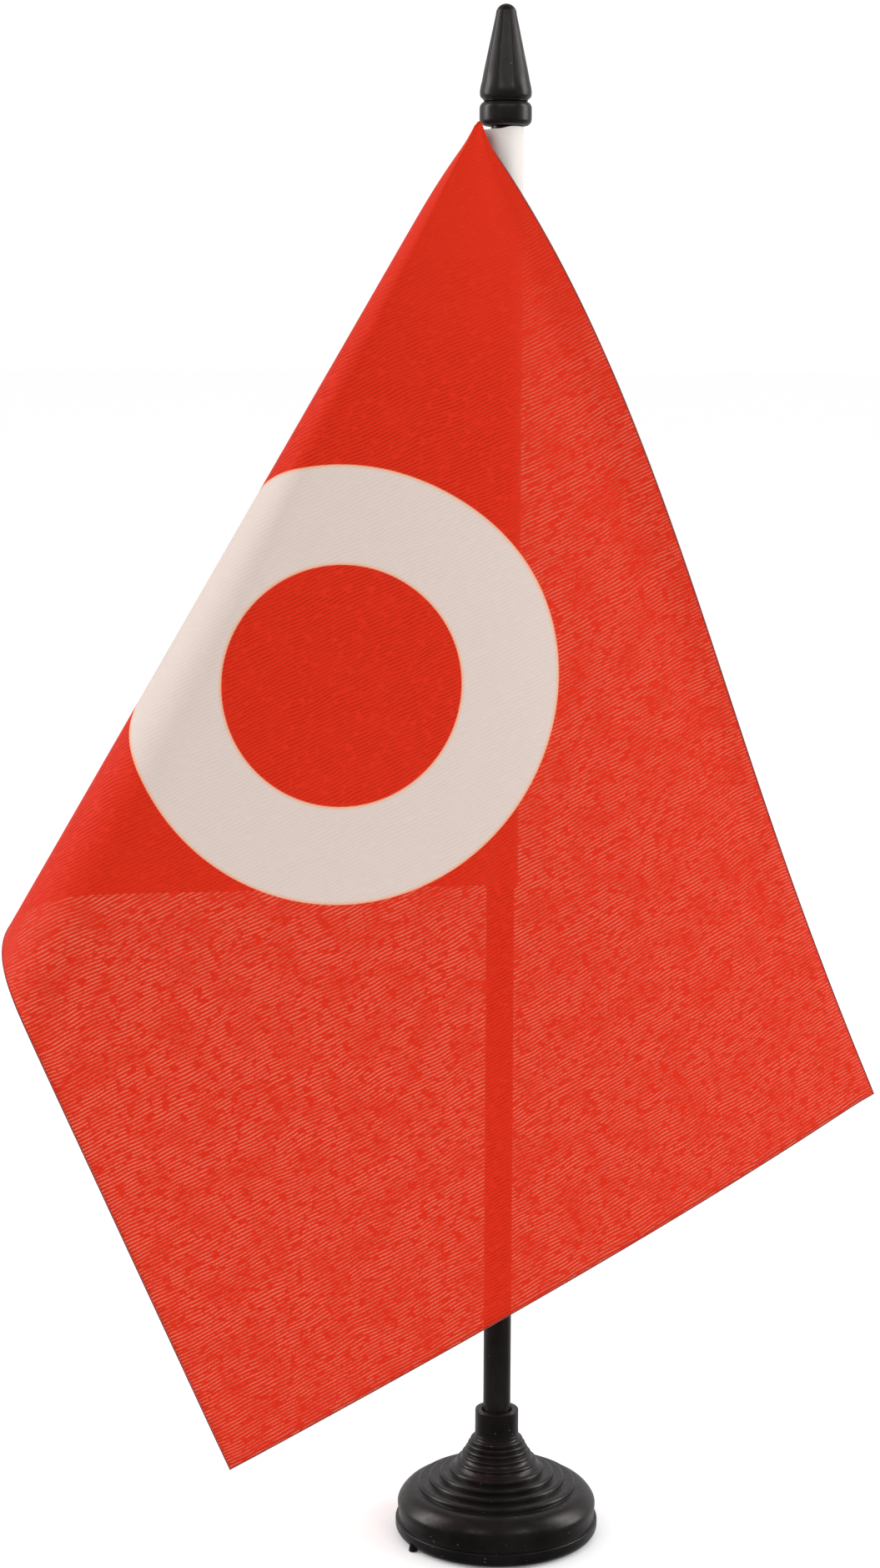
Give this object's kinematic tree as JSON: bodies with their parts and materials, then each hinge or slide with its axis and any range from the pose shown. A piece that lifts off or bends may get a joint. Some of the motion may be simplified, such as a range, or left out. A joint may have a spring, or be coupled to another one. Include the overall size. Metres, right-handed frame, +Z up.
{
  "type": "desk flag stand",
  "caption": "Small desk flag: a ringed weighted foot, a slim upright pole with a spear finial, and a folded cloth flag whose hoist sleeve turns on the pole.",
  "frame": {"origin": "centre of the foot's underside, on the pole's axis", "axes": "+Z up along the pole; the flag's folded front faces -Y and the fold hangs to -X"},
  "size_m": [0.1656, 0.0508, 0.29],
  "materials": {
    "foot_plastic": "black injection-moulded plastic, satin",
    "ballast_steel": "plain cut steel",
    "pole_plastic": "black extruded plastic tube, slightly glossy",
    "finial_plastic": "black moulded plastic, slightly glossy",
    "sleeve_cloth": "white woven polyester",
    "flag_cloth": "thin ribbed polyester, printed red with one plain white ring",
    "seam_thread": "white sewing thread"
  },
  "bodies": {
    "base": {"base_shell": "foot_plastic", "ballast_ring": "ballast_steel", "bottom_cap": "foot_plastic"},
    "pole": {"pole": "pole_plastic"},
    "finial": {"finial": "finial_plastic"},
    "flag": {"flag_cloth": "flag_cloth", "hoist_sleeve": "sleeve_cloth", "seam_thread_back": "seam_thread", "seam_thread_front": "seam_thread"}
  },
  "joints": [
    {"name": "pole_pull", "type": "slide", "parent": "base", "child": "pole", "axis": [0, 0, 1], "range_m": [0, 0.016]},
    {"name": "finial_pull", "type": "slide", "parent": "pole", "child": "finial", "axis": [0, 0, 1], "range_m": [0, 0.0087]},
    {"name": "flag_turn", "type": "hinge", "parent": "pole", "child": "flag", "pos_m": [0, 0, 0.198], "axis": [0, 0, 1], "continuous": true}
  ]
}
